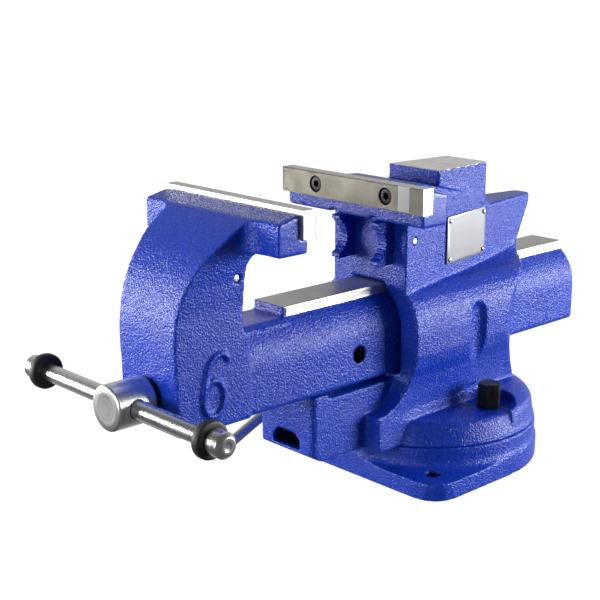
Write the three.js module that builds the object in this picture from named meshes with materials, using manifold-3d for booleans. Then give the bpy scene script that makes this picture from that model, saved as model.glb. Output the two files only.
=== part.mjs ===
// Bench vise on a swivel base, with flat jaws, pipe jaws, an anvil and a beak.
// Units are millimetres. +X runs along the jaws, +Y from the handle to the beak, +Z is up.
// The origin is on the swivel axis, at the underside of the base. The jaws stand part open.
import * as THREE from "three";
import { mergeVertices } from "three/addons/utils/BufferGeometryUtils.js";
import Module from "manifold-3d";

const wasm = await Module();
wasm.setup();

// ---- Driving dimensions ----
const GAP = 0.3; // left between pieces that rest on each other
const JAW_WIDTH = 150; // length of the jaw plates, the size the vise is sold by
const OPENING = 106.5; // between the gripping faces, as drawn
const REAR_GRIP_Y = -94.7; // gripping face of the fixed jaw
const FRONT_GRIP_Y = REAR_GRIP_Y - OPENING;

const PLATE = { thick: 11, low: 221.1, top: 240.6 }; // jaw plates
const HEAD = { halfWidth: 72, low: 210.2, seat: 220.8, top: 237.8, back: 233.3, lip: 4.5, depth: 19.6 };
const PLATE_SCREW = { x: 37.3, z: 230.9, length: 16, boreDepth: 6.5 };
const PLATE_SCREW_HEAD = { radius: 6, length: 6, shankRadius: 4 };

const SLIDE = { halfWidth: 31, low: 87, shoulder: 121, top: 149.5, roundX: -3.6, cornerRadius: 4 };
const RAIL = { halfWidth: 16, top: 157, front: -177.5 };
const PAD = { halfWidth: 21.5, edge: 146.6, low: 140, top: 149.9, front: -229 }; // before the rail
const SLIDE_REAR = 160.9;
const SLIDE_FRONT = -222;
const CHANNEL = { halfWidth: 18, top: 136 }; // hollow under the slide, around the screw

const ARM = { halfWidth: 31.8, front: -288.5, throat: -228, wall: 26.5 };
const SCREW_Z = 110.6; // axis of the main screw
const SCREW = { radius: 12, rear: 122, bore: 12.3 };
const SCREW_HEAD = { radius: 16.3, front: -322.9, rear: -292, chamfer: 1.6 };
const HANDLE_Y = -307.7;
const HANDLE = { radius: 6.5, left: -113, right: 106.8, bore: 7 };
const RING = { outer: 13.1, bore: 6.8, width: 6.6 };
const CAP = { radius: 8.9, length: 14.5, socket: 12, chamfer: 2.8 };

const BODY_FRONT = -71.6; // front wall around the slide
const COLUMN_HALF = 39.4; // half width of the upper block at that wall
const PROW_SLOPE = 0.16; // how fast its sides draw together towards the beak
const BEAK = { tip: 122.6, top: 204.3, tipRadius: 7 };
const ANVIL = { front: -22.7, rear: 43.8, frontHalf: 27.2, rearHalf: 22, low: 207, top: 241 };
const NOSE = { halfWidth: 30, front: -160.1, low: 33.6, top: 82.5, padTop: 86, padRear: -143 };

const BASE = { halfWidth: 93, front: -92, plate: 14, top: 31.5, discRadius: 91.5, corner: 21 };
const BENCH_HOLE = { radius: 5.8, x: 71.2, y: -70.3, rearY: 106 };
const REAR_LUG = { halfWidth: 20, end: 120, round: 16, rootX: 74, rootY: 56 };
const SLOT = { radius: 63.5, halfWidth: 6.8, channelHalf: 13, low: 8, ceiling: 22 }; // T-slot in the base
const FOOT_TOP = 49.8; // milled flats that the lock nuts sit on
const LOCK = { y: 4.8, shank: 6, bore: 6.5, spotRadius: 21, spotTop: 64, flatX: 44 };
const WRENCH_GROOVE = { x: 58, y: 3.5, radius: 11, top: 138.5 }; // room for a socket beside the neck
const PIVOT = { radius: 15, low: 5, top: 58 };

// Pipe jaws: the rear pair stands well proud of its wall, the front pair just clears the throat.
const PIPE = { x: 21, width: 9, shankWidth: 7, shankLength: 20, shankLow: 182, shankTop: 201 };
const REAR_PIPE = { low: 173.8, top: 208, reach: 16.4, notch: 8, tip: 3 };
const FRONT_PIPE = { low: 180, top: 203.6, reach: 4.6, notch: 0.9, tip: 2.2 };
const PIPE_RELIEF = { radius: 5.4, z: 207.6 }; // arch cut in the rear jaw head over each pipe jaw
const PIPE_PIN = { radius: 2.6, z: 191.5, rearDepth: 11.8, frontDepth: 7.4 };
const NUT = { halfWidth: 15, front: -58, rear: -14, low: 80.3, top: 129 };

// ---- Finishes ----
const finish = (color, roughness, metalness) => ({ color, roughness, metalness });
const PAINT = finish(0x2433c4, 0.38, 0.1);
const JAW_STEEL = finish(0xb9b4a6, 0.45, 0.9);
const BRIGHT_ZINC = finish(0xcfd3d4, 0.25, 1.0);
const BLACK_STEEL = finish(0x1c1c1e, 0.5, 0.7);
const PLAIN_STEEL = finish(0x8d9094, 0.4, 0.9);
const RUBBER = finish(0x151515, 0.75, 0.0);
const BRONZE = finish(0x8a8378, 0.6, 0.6);
const LABEL = finish(0xe6e8ea, 0.3, 0.7);

// ---- Solid modelling helpers ----
function toSolid(geometry) {
  const bare = geometry.index ? geometry.toNonIndexed() : geometry.clone();
  bare.deleteAttribute("normal");
  bare.deleteAttribute("uv");
  const merged = mergeVertices(bare, 1e-4);
  const index = merged.index.array;
  const triVerts = [];
  for (let i = 0; i < index.length; i += 3) {
    const [a, b, c] = index.slice(i, i + 3);
    if (a !== b && b !== c && c !== a) triVerts.push(a, b, c);
  }
  return new wasm.Manifold(
    new wasm.Mesh({
      numProp: 3,
      vertProperties: merged.attributes.position.array,
      triVerts: new Uint32Array(triVerts),
    }),
  );
}

function toGeometry(solid) {
  const { vertProperties, triVerts } = solid.getMesh();
  const geometry = new THREE.BufferGeometry();
  geometry.setAttribute("position", new THREE.BufferAttribute(vertProperties, 3));
  geometry.setIndex(new THREE.BufferAttribute(triVerts, 1));
  const flat = geometry.toNonIndexed();
  flat.computeVertexNormals();
  return flat;
}

const inOrder = (a, b) => [Math.min(a, b), Math.max(a, b)];
const join = (first, ...others) => others.reduce((sum, solid) => sum.add(solid), first);
const cut = (first, ...tools) => tools.reduce((rest, tool) => rest.subtract(tool), first);

// Points of a closed outline. Each corner is [u, v] or [u, v, radius of its round].
function outline(corners, stepsPerQuarter = 4) {
  return corners.flatMap(([u, v, radius], i) => {
    const here = new THREE.Vector2(u, v);
    if (!radius) return [here];
    const towards = (corner) => new THREE.Vector2(corner[0], corner[1]).sub(here).normalize();
    const back = towards(corners.at(i - 1));
    const on = towards(corners[(i + 1) % corners.length]);
    const half = Math.acos(back.dot(on)) / 2;
    const centre = here.clone().addScaledVector(back.clone().add(on).normalize(), radius / Math.sin(half));
    const start = here.clone().addScaledVector(back, radius / Math.tan(half)).sub(centre);
    const sweep = (Math.PI - 2 * half) * Math.sign(on.cross(back));
    const steps = Math.max(2, Math.ceil((Math.abs(sweep) / (Math.PI / 2)) * stepsPerQuarter));
    return Array.from({ length: steps + 1 }, (_, k) =>
      start.clone().rotateAround(new THREE.Vector2(), (sweep * k) / steps).add(centre),
    );
  });
}

const pointsOnArc = (cu, cv, radius, fromAngle, toAngle, steps) =>
  Array.from({ length: steps + 1 }, (_, k) => {
    const angle = fromAngle + ((toAngle - fromAngle) * k) / steps;
    return new THREE.Vector2(cu + radius * Math.cos(angle), cv + radius * Math.sin(angle));
  });

// Both sides of an outline that is symmetric in u, from the points of its +u side, low to high.
const mirrored = (side) => [...side, ...side.toReversed().map((p) => new THREE.Vector2(-p.x, p.y))];

const X = new THREE.Vector3(1, 0, 0);
const Y = new THREE.Vector3(0, 1, 0);
const Z = new THREE.Vector3(0, 0, 1);

// An outline swept along one axis. It is drawn in (y, z) for x, in (x, z) for y and in (x, y) for z.
function sweep(axis, points, from, to) {
  const options = { depth: to - from, bevelEnabled: false };
  const geometry = new THREE.ExtrudeGeometry(new THREE.Shape(points), options);
  geometry.translate(0, 0, axis === "y" ? -to : from);
  const turned = new THREE.Matrix4();
  if (axis === "x") turned.makeBasis(Y, Z, X);
  if (axis === "y") turned.makeBasis(X, Z, Y.clone().negate());
  return toSolid(geometry.applyMatrix4(turned));
}

const box = (x0, x1, y0, y1, z0, z1) =>
  toSolid(
    new THREE.BoxGeometry(x1 - x0, y1 - y0, z1 - z0).translate((x0 + x1) / 2, (y0 + y1) / 2, (z0 + z1) / 2),
  );

// A body of revolution. The profile's points are [radius, place along the axis], and the axis
// passes through at.
function turn(axis, profile, at = [0, 0, 0], sides = 32) {
  const geometry = new THREE.LatheGeometry(profile.map(([r, h]) => new THREE.Vector2(r, h)), sides);
  if (axis === "x") geometry.rotateZ(-Math.PI / 2);
  if (axis === "z") geometry.rotateX(Math.PI / 2);
  const solid = toSolid(geometry.translate(...at));
  if (solid.volume() < 0) throw new Error("a turned profile runs the wrong way");
  return solid;
}

const rod = (axis, radius, from, to, at, sides = 20) =>
  turn(axis, [[0, from], [radius, from], [radius, to], [0, to]], at, sides);

// A rod with a 45 degree chamfer at both ends.
const chamferedRod = (axis, radius, from, to, chamfer, at, sides = 24) =>
  turn(
    axis,
    [
      [0, from],
      [radius - chamfer, from],
      [radius, from + chamfer],
      [radius, to - chamfer],
      [radius - chamfer, to],
      [0, to],
    ],
    at,
    sides,
  );

// A skin through level plan sections: each is {z, points}, all with the same number of points.
function loft(sections) {
  const count = sections[0].points.length;
  const vertices = sections.flatMap(({ z, points }) => points.flatMap((p) => [p.x, p.y, z]));
  const faces = [];
  for (let level = 0; level + 1 < sections.length; level++)
    for (let i = 0; i < count; i++) {
      const a = level * count + i;
      const b = level * count + ((i + 1) % count);
      faces.push(a, b, b + count, a, b + count, a + count);
    }
  const lid = THREE.ShapeUtils.triangulateShape(sections[0].points, []);
  const top = (sections.length - 1) * count;
  for (const [a, b, c] of lid) faces.push(a, c, b, top + a, top + b, top + c);
  const geometry = new THREE.BufferGeometry();
  geometry.setAttribute("position", new THREE.Float32BufferAttribute(vertices, 3));
  geometry.setIndex(faces);
  return toSolid(geometry);
}

// Straight-line reading of a list of [place, value, value...] rows.
function readRows(rows, place) {
  const above = Math.max(1, rows.findIndex((row) => row[0] >= place));
  const [low, high] = [rows[above - 1], rows[above]];
  const share = (place - low[0]) / (high[0] - low[0]);
  return low.slice(1).map((value, i) => value + (high[i + 1] - value) * share);
}

const root = new THREE.Group();
root.name = "bench_vise";
function add(name, solid, look) {
  const mesh = new THREE.Mesh(toGeometry(solid), new THREE.MeshStandardMaterial(look));
  mesh.name = name;
  root.add(mesh);
}

const bothSides = [["left", -1], ["right", 1]];

// ---- Slide section, used by the slide and by the tunnel that guides it ----
function slideSection(clearance, low, railHalf, railTop) {
  const half = SLIDE.halfWidth + clearance;
  const radius = half - SLIDE.roundX;
  const atEdge = Math.acos((railHalf - SLIDE.roundX) / radius);
  const side = [
    ...outline([[0, low], [half, low, SLIDE.cornerRadius], [half, SLIDE.shoulder]]).slice(1, -1),
    ...pointsOnArc(SLIDE.roundX, SLIDE.shoulder, radius, 0, atEdge, 7),
  ];
  if (railTop) side.push(new THREE.Vector2(railHalf, railTop));
  return mirrored(side);
}

// ---- Swivel base ----
function makeBase() {
  const { halfWidth, front, plate, top, discRadius, corner } = BASE;
  const plan = [
    ...outline([
      [-halfWidth, front, corner],
      [halfWidth, front, corner],
      [halfWidth, 0],
      [-halfWidth, 0],
    ]).slice(0, -2),
    ...pointsOnArc(0, 0, halfWidth, 0, Math.PI, 40),
  ];
  const lug = outline([
    [-REAR_LUG.rootX, REAR_LUG.rootY],
    [REAR_LUG.rootX, REAR_LUG.rootY],
    [REAR_LUG.halfWidth, REAR_LUG.end, REAR_LUG.round],
    [-REAR_LUG.halfWidth, REAR_LUG.end, REAR_LUG.round],
  ]);
  const flare = 6; // cast fillet between plate and disc
  const disc = turn("z", [
    [0, 2],
    [discRadius + flare + 1, 2],
    [discRadius + flare + 1, plate],
    [discRadius + flare * 0.3, plate + flare * 0.3],
    [discRadius, plate + flare],
    [discRadius, top - 1],
    [discRadius - 1, top],
    [0, top],
  ], [0, 0, 0], 64);
  const casting = join(
    sweep("z", plan, 0, plate),
    sweep("z", lug, 0, plate),
    disc.intersect(sweep("z", plan, 0, top + 1)),
  );
  const ringCut = (half, low, high) => turn("z", [
    [SLOT.radius - half, low],
    [SLOT.radius + half, low],
    [SLOT.radius + half, high],
    [SLOT.radius - half, high],
    [SLOT.radius - half, low],
  ], [0, 0, 0], 60);
  return cut(
    casting,
    ringCut(SLOT.channelHalf, SLOT.low, SLOT.ceiling),
    ringCut(SLOT.halfWidth, SLOT.ceiling - 1, top + 1),
    rod("z", 16, -1, SLOT.low + 1, [0, SLOT.radius, 0]), // where the lock bolts go in
    rod("z", PIVOT.radius + GAP, PIVOT.low, top + 1, [0, 0, 0], 32),
    ...[[-BENCH_HOLE.x, BENCH_HOLE.y], [BENCH_HOLE.x, BENCH_HOLE.y], [0, BENCH_HOLE.rearY]].map(([x, y]) =>
      rod("z", BENCH_HOLE.radius, -1, plate + 1, [x, y, 0], 24)),
  );
}

const makePivotPin = () =>
  chamferedRod("z", PIVOT.radius, PIVOT.low + GAP, PIVOT.top, 2, [0, 0, 0], 32);

// ---- Fixed casting ----
// Half width of the housing as seen from the front, at height z.
const HOUSING_SIDE = [
  [BASE.top + GAP, 44.5], [48, 43.5], [60, 43.5], [75, 45.3], [86, 47.4], [94, 50.4], [104, 52.3], [121, 52.6],
  [130, 51.7], [139.4, 49.4], [146, 45.2], [151, 39.4], [153.3, 34], [154.3, 28], [156.8, 21],
  [160.7, 16], [167, 12],
];
// How far the rear of the housing bulges behind the line y = 30, at height z.
const HOUSING_REAR = [
  [BASE.top + GAP, 61], [48, 58], [60, 52], [73, 46], [86, 42.5], [100, 42], [129, 50], [144, 57], [155, 66],
  [170, 70],
];
const FRONT_SWEEP = { radius: 32, top: 92 }; // concave sweep from the front wall out to the lower front

function housingFront(z) {
  const { radius, top } = FRONT_SWEEP;
  if (z >= top) return BODY_FRONT;
  const out = z <= top - radius ? 0 : Math.sqrt(radius ** 2 - (top - z) ** 2);
  return BODY_FRONT - radius + out;
}

function makeHousing() {
  const silhouette = mirrored(HOUSING_SIDE.map(([z, half]) => new THREE.Vector2(half, z)));
  const half = 54;
  const rearStart = 30;
  const levels = [BASE.top + GAP, 48, 60, 60.6, 62.5, 65, 68, 72, 76, 81, 86, 92, 100, 114, 129, 144, 155, 170];
  const envelope = loft(levels.map((z) => {
    const front = housingFront(z);
    const [bulge] = readRows(HOUSING_REAR, z);
    const rear = pointsOnArc(0, 0, 1, 0, Math.PI, 20).map(
      (p) => new THREE.Vector2(p.x * half, rearStart + p.y * bulge),
    );
    return { z, points: [new THREE.Vector2(-half, front), new THREE.Vector2(half, front), ...rear] };
  }));
  return envelope.intersect(sweep("y", silhouette, -110, 110));
}

const prowHalf = (y) => COLUMN_HALF - PROW_SLOPE * (y - BODY_FRONT);

function makeProw() {
  const { tip, top, tipRadius } = BEAK;
  const plan = outline([
    [-COLUMN_HALF, BODY_FRONT],
    [COLUMN_HALF, BODY_FRONT],
    [prowHalf(tip), tip, tipRadius],
    [-prowHalf(tip), tip, tipRadius],
  ]);
  const side = outline([
    [BODY_FRONT, 140],
    [101, 140],
    [101, 166],
    [tip + 1.5, top, 2],
    [52, top, 6],
    [44, 211.8],
    [-50, 235],
    [BODY_FRONT, 236],
  ]);
  return sweep("z", plan, 140, 240).intersect(sweep("x", side, -50, 50));
}

// Cross bar that backs a jaw plate. Direction is -1 where the plate faces the handle, 1 where it
// faces the beak.
function jawHead(grip, direction) {
  const { halfWidth, low, seat, top, back, lip, depth } = HEAD;
  const lipFace = grip - direction * lip;
  const seatFace = grip - direction * (PLATE.thick + GAP);
  const backFace = seatFace - direction * depth;
  const corners = [
    [lipFace, low, 1.5],
    [lipFace, seat],
    [seatFace, seat],
    [seatFace, top],
    [backFace, back, 2],
    [backFace, low, 2],
  ];
  return sweep("x", outline(corners, 2), -halfWidth, halfWidth);
}

// Upright fillet between the back of a jaw head and the neck that carries it.
function headFillet(side, neckHalf, backFace, direction, radius, low, high) {
  const inner = neckHalf - 4;
  const [from, to] = [-direction * Math.PI / 2, -direction * Math.PI];
  const quarter = pointsOnArc(neckHalf + radius, direction * radius, radius, from, to, 6);
  const points = [
    new THREE.Vector2(inner, direction * radius),
    new THREE.Vector2(inner, -direction * 2),
    new THREE.Vector2(neckHalf + radius, -direction * 2),
    ...quarter,
  ].map((p) => new THREE.Vector2(side * p.x, backFace + p.y));
  return sweep("z", points, low, high);
}

function makeNose() {
  const { halfWidth, front, low, top, padTop, padRear } = NOSE;
  const side = [
    [front, low + 5.4],
    [front + 9, low],
    [-68, low],
    [-68, top],
    [padRear, top],
    [padRear - 1.5, padTop],
    [front, padTop],
  ];
  const plan = outline([
    [-halfWidth, front, 4],
    [halfWidth, front, 4],
    [halfWidth, -65],
    [-halfWidth, -65],
  ]);
  const bulk = sweep("x", outline(side), -halfWidth, halfWidth).intersect(sweep("z", plan, 20, 100));
  const window = outline([[-15, 41], [15, 41], [15, 48], [9, 54], [-9, 54], [-15, 48]]);
  return cut(bulk, sweep("y", window, front - 1, front + 42));
}

// Holes for the plate screws in the seat behind a jaw plate.
function plateScrewBores(grip, direction) {
  const seat = grip - direction * PLATE.thick;
  const ends = [seat + direction, seat - direction * PLATE_SCREW.boreDepth];
  const [low, high] = ends.sort((a, b) => a - b);
  const { x, z } = PLATE_SCREW;
  const radius = PLATE_SCREW_HEAD.shankRadius + GAP;
  return bothSides.map(([, side]) => rod("y", radius, low, high, [side * x, 0, z]));
}

// Seat of one pipe jaw: a pocket for its shank. Direction points from the wall into the casting.
function pipePocket(x, wall, direction) {
  const half = PIPE.shankWidth / 2 + GAP;
  const ends = [wall - direction, wall + direction * (PIPE.shankLength + 1)];
  const [low, high] = ends.sort((a, b) => a - b);
  return box(x - half, x + half, low, high, PIPE.shankLow - GAP, PIPE.shankTop + GAP);
}

const pinBore = (y) => rod("x", PIPE_PIN.radius + GAP, -60, 60, [0, y, PIPE_PIN.z], 16);

// Round foot that turns on the base. Its top is domed, apart from the flats round the lock nuts.
function makeFoot() {
  const low = BASE.top + GAP;
  const rim = BASE.discRadius - 0.5;
  const disc = turn("z", [
    [0, low],
    [rim, low],
    [rim - 0.3, low + 2],
    [85, FOOT_TOP - 2.2],
    [82.8, FOOT_TOP],
    [0, FOOT_TOP],
  ], [0, 0, 0], 72);
  const dome = turn("z", [
    [0, low + 5],
    [89.4, low + 5],
    [88, 48],
    [85.5, 52],
    [80, 55.4],
    [72, 57.5],
    [0, 58],
  ], [0, 0, 0], 72);
  const flats = bothSides.flatMap(([, side]) => [
    box(...inOrder(side * LOCK.flatX, side * 100), -100, LOCK.y, low, 70),
    rod("z", LOCK.spotRadius, low, 70, [side * SLOT.radius, LOCK.y, 0], 32),
  ]);
  return join(disc, cut(dome, ...flats));
}

function makeBody() {
  const rearBack = REAR_GRIP_Y + PLATE.thick + GAP + HEAD.depth;
  const { front, rear, frontHalf, rearHalf, low, top } = ANVIL;
  const anvil = outline([
    [-frontHalf, front, 2],
    [frontHalf, front, 2],
    [rearHalf, rear, 2],
    [-rearHalf, rear, 2],
  ], 2);
  const casting = join(
    makeHousing(),
    makeProw(),
    makeNose(),
    makeFoot(),
    jawHead(REAR_GRIP_Y, -1),
    ...bothSides.map(([, side]) =>
      headFillet(side, prowHalf(rearBack), rearBack, 1, 14, HEAD.low, HEAD.back - 1)),
    sweep("z", anvil, low, top),
  );
  const lockCuts = bothSides.flatMap(([, side]) => {
    const at = [side * SLOT.radius, LOCK.y, 0];
    const { x, y, radius, top: grooveTop } = WRENCH_GROOVE;
    const ballEnd = new THREE.SphereGeometry(radius, 24, 12).rotateX(Math.PI / 2);
    return [
      rod("z", LOCK.spotRadius, FOOT_TOP - 0.5, LOCK.spotTop, at, 32),
      rod("z", radius, FOOT_TOP - 0.5, grooveTop - radius, [side * x, y, 0], 24),
      toSolid(ballEnd.translate(side * x, y, grooveTop - radius)),
      rod("z", LOCK.bore, BASE.top - 1, FOOT_TOP + 1, at),
    ];
  });
  const tunnelSection = slideSection(3.4, SLIDE.low - 0.6, RAIL.halfWidth + 1, RAIL.top + 1);
  const tunnel = sweep("y", tunnelSection, BODY_FRONT - 60, 115);
  const nutMiddle = (NUT.front + NUT.rear) / 2;
  const nutHalf = NUT.halfWidth + GAP;
  return cut(
    casting,
    tunnel,
    ...lockCuts,
    box(-26, 26, -90, -22, BASE.top - 2, 66),
    box(-26, 26, 22, 60, BASE.top - 2, 66),
    box(-nutHalf, nutHalf, NUT.front - GAP, NUT.rear + GAP, NUT.low - GAP, 90),
    rod("z", 5.3, 60, NUT.low + 1, [0, nutMiddle, 0]),
    rod("z", PIVOT.radius + GAP, BASE.top - 1, PIVOT.top + 2, [0, 0, 0], 32),
    ...bothSides.flatMap(([, side]) => [
      pipePocket(side * PIPE.x, BODY_FRONT, 1),
      rod("y", PIPE_RELIEF.radius, REAR_GRIP_Y, BODY_FRONT, [side * PIPE.x, 0, PIPE_RELIEF.z], 24),
    ]),
    pinBore(BODY_FRONT + PIPE_PIN.rearDepth),
    ...plateScrewBores(REAR_GRIP_Y, -1),
    ...labelCorners().map((at) => labelBore(at, 1.3, 6)),
  );
}

// ---- Label plate on the right flank of the fixed casting ----
const LABEL_PLATE = { centreY: 13.6, length: 59, low: 165, high: 203.5, thick: 1.2, inset: 3.6 };
const FLANK_TURN = Math.atan(PROW_SLOPE);

// Moves a solid drawn at the origin, lying on the plane x = 0, on to the right flank.
function onFlank(solid, alongFlank, z) {
  const along = new THREE.Vector3(-Math.sin(FLANK_TURN), Math.cos(FLANK_TURN), 0);
  const start = new THREE.Vector3(prowHalf(LABEL_PLATE.centreY), LABEL_PLATE.centreY, z);
  const place = start.addScaledVector(along, alongFlank);
  return solid.rotate([0, 0, THREE.MathUtils.radToDeg(FLANK_TURN)]).translate([place.x, place.y, place.z]);
}

function labelCorners() {
  const { length, low, high, inset } = LABEL_PLATE;
  const reach = length / 2 - inset;
  return [-reach, reach].flatMap((along) => [[along, low + inset], [along, high - inset]]);
}

const labelBore = ([along, z], radius, depth) =>
  onFlank(rod("x", radius, -depth, 4, [0, 0, 0], 12), along, z);

function makeLabel() {
  const { length, low, high, thick } = LABEL_PLATE;
  const half = (high - low) / 2;
  const reach = length / 2;
  const plan = outline([[-reach, -half, 2], [reach, -half, 2], [reach, half, 2], [-reach, half, 2]], 2);
  const plate = onFlank(sweep("x", plan, GAP, GAP + thick), 0, (low + high) / 2);
  return cut(plate, ...labelCorners().map((at) => labelBore(at, 1.3, 6)));
}

function makeRivet([along, z]) {
  const face = 2 * GAP + LABEL_PLATE.thick;
  const profile = [[0, -4.5], [1, -4.5], [1, face], [2, face], [1.5, face + 0.8], [0, face + 1.1]];
  return onFlank(turn("x", profile, [0, 0, 0], 12), along, z);
}

// ---- Jaw plates, their screws and the pipe jaws ----
function jawPlate(grip, direction) {
  const [near, far] = inOrder(grip, grip - direction * PLATE.thick);
  const half = JAW_WIDTH / 2;
  const { low, top } = PLATE;
  const section = outline([[near, low, 0.8], [far, low, 0.8], [far, top, 0.8], [near, top, 0.8]], 1);
  const recess = inOrder(grip + direction, grip - direction * (PLATE_SCREW_HEAD.length + 1.5));
  const holes = bothSides.flatMap(([, side]) => {
    const at = [side * PLATE_SCREW.x, 0, PLATE_SCREW.z];
    return [
      rod("y", PLATE_SCREW_HEAD.shankRadius + GAP, near - 1, far + 1, at),
      rod("y", PLATE_SCREW_HEAD.radius + 0.5, ...recess, at, 24),
    ];
  });
  return cut(sweep("x", section, -half, half), ...holes);
}

// Socket head screw, drawn pointing along -direction from the gripping face.
function plateScrew(side, grip, direction) {
  const at = [side * PLATE_SCREW.x, 0, PLATE_SCREW.z];
  const head = PLATE_SCREW_HEAD;
  const crown = grip - direction * 1.2;
  const along = (distance) => crown - direction * distance;
  const rows = [
    [0, 0],
    [head.radius - 0.6, 0],
    [head.radius, 0.6],
    [head.radius, head.length],
    [head.shankRadius, head.length],
    [head.shankRadius, PLATE_SCREW.length],
    [0, PLATE_SCREW.length],
  ];
  const profile = rows.map(([radius, distance]) => [radius, along(distance)]);
  const body = turn("y", direction > 0 ? profile.toReversed() : profile, at, 24);
  return cut(body, rod("y", 3, ...inOrder(along(3.6), along(-1)), at, 6));
}

// Notched jaw for round stock. Direction points from the wall to the tips.
function pipeJaw(x, wall, direction, { low, top, reach, notch, tip }, pinDepth) {
  const { width, shankWidth, shankLength, shankLow, shankTop } = PIPE;
  const at = (distance) => wall + direction * distance;
  const middle = (low + top) / 2;
  const hollow = [0.25, 0.5, 0.75, 1, 1.25, 1.5, 1.75].map((share) => {
    const z = low + tip + (middle - low - tip) * share;
    return [at(notch + (reach - notch) * (1 - share) ** 2), z];
  });
  const side = outline([
    [at(GAP), low],
    [at(reach - 1), low],
    [at(reach), low + 1],
    [at(reach), low + tip],
    ...hollow,
    [at(reach), top - tip],
    [at(reach), top - 1],
    [at(reach - 1), top],
    [at(GAP), top],
    [at(GAP), shankTop],
    [at(-shankLength), shankTop],
    [at(-shankLength), shankLow],
    [at(GAP), shankLow],
  ]);
  const head = sweep("x", side, x - width / 2, x + width / 2);
  const shankHalf = shankWidth / 2;
  const [deep, shallow] = inOrder(at(-shankLength - 1), at(0));
  return cut(
    head,
    box(x + shankHalf, x + width, deep, shallow, low, top),
    box(x - width, x - shankHalf, deep, shallow, low, top),
    pinBore(at(-pinDepth)),
  );
}

// Slot that clears a front pipe jaw where the throat curves into the jaw head.
function throatRelief(x) {
  const half = PIPE.width / 2 + GAP;
  const end = ARM.throat + FRONT_PIPE.reach + 1;
  return box(x - half, x + half, ARM.throat, end, FRONT_PIPE.low - GAP, FRONT_PIPE.top + GAP);
}

// ---- Moving jaw: arm and slide in one casting ----
function makeMovingJaw() {
  const { halfWidth, front, throat, wall } = ARM;
  const backFace = FRONT_GRIP_Y - PLATE.thick - GAP - HEAD.depth;
  const crown = new THREE.CubicBezierCurve(
    new THREE.Vector2(backFace, HEAD.back),
    new THREE.Vector2(-273, 210),
    new THREE.Vector2(front, 187),
    new THREE.Vector2(front, 150),
  ).getPoints(12);
  const lipFace = FRONT_GRIP_Y - HEAD.lip;
  const profile = [
    ...crown,
    ...outline([
      [backFace, HEAD.back],
      [front, SLIDE.low, 4],
      [SLIDE_FRONT, SLIDE.low],
      [SLIDE_FRONT, SLIDE.top],
      [throat, SLIDE.top, 6],
      [throat, 205, 12],
      [lipFace - 8, 208.5],
      [lipFace - 8, HEAD.top - 1],
    ]).slice(1),
  ];
  const sideProfile = (half) => sweep("x", profile, -half, half);
  const widening = [[halfWidth, SLIDE.low - 1], [halfWidth, 170], [33.8, 190], [37, 206], [41.5, 218]];
  const frontView = mirrored([...widening, [45, HEAD.top + 1]].map(([x, z]) => new THREE.Vector2(x, z)));
  const arm = sideProfile(60).intersect(sweep("y", frontView, front - 10, -200));
  const fillets = bothSides.map(([, side]) =>
    headFillet(side, 39, backFace, -1, 15, HEAD.low, HEAD.top).intersect(sideProfile(80)));
  const slide = sweep("y", slideSection(0, SLIDE.low, RAIL.halfWidth), SLIDE_FRONT - 8, SLIDE_REAR);
  const rail = box(-RAIL.halfWidth, RAIL.halfWidth, RAIL.front, SLIDE_REAR, SLIDE.top - 4, RAIL.top);
  const padSection = [[PAD.halfWidth, PAD.low], [PAD.halfWidth, PAD.edge], [RAIL.halfWidth, PAD.top]];
  const pad = sweep(
    "y",
    mirrored(padSection.map(([x, z]) => new THREE.Vector2(x, z))),
    PAD.front,
    RAIL.front + 1,
  );
  const channelFront = front + wall;
  const channelLow = SLIDE.low - 5;
  const channel = mirrored(outline([
    [0, channelLow],
    [CHANNEL.halfWidth, channelLow],
    [CHANNEL.halfWidth, CHANNEL.top, 8],
    [0, CHANNEL.top],
  ]).slice(1, -1));
  return cut(
    join(arm, ...fillets, slide, rail, pad, jawHead(FRONT_GRIP_Y, 1)),
    sweep("y", channel, channelFront, SLIDE_REAR + 5),
    rod("y", SCREW.bore, front - 5, channelFront + 5, [0, 0, SCREW_Z], 32),
    rod("x", 6.5, -40, 40, [0, -112.5, 110.6], 20),
    ...bothSides.map(([, side]) => pipePocket(side * PIPE.x, throat, -1)),
    ...bothSides.map(([, side]) => throatRelief(side * PIPE.x)),
    pinBore(throat - PIPE_PIN.frontDepth),
    ...plateScrewBores(FRONT_GRIP_Y, 1),
  );
}

// ---- Main screw and its handle ----
const COLLAR = { radius: 16, thick: 12 };
const collarFront = ARM.front + ARM.wall + GAP;
const collarMiddle = collarFront + COLLAR.thick / 2;

function makeSpindle() {
  const { radius, front, rear, chamfer } = SCREW_HEAD;
  const profile = [
    [0, front],
    [radius - chamfer, front],
    [radius, front + chamfer],
    [radius, rear],
    [SCREW.radius, rear],
    [SCREW.radius, SCREW.rear - 3],
    [SCREW.radius - 3, SCREW.rear],
    [0, SCREW.rear],
  ];
  return cut(
    turn("y", profile, [0, 0, SCREW_Z], 36),
    rod("x", HANDLE.bore, -30, 30, [0, HANDLE_Y, SCREW_Z], 24),
    rod("z", 2.8, SCREW_Z - 20, SCREW_Z + 20, [0, collarMiddle, 0], 12),
  );
}

// A flat ring about an axis, from bore to outer radius.
const ringAbout = (axis, bore, outer, from, to, at, sides = 32) =>
  turn(axis, [[bore, from], [outer, from], [outer, to], [bore, to], [bore, from]], at, sides);

const makeHandleBar = () =>
  rod("x", HANDLE.radius, HANDLE.left, HANDLE.right, [0, HANDLE_Y, SCREW_Z], 24);

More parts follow.
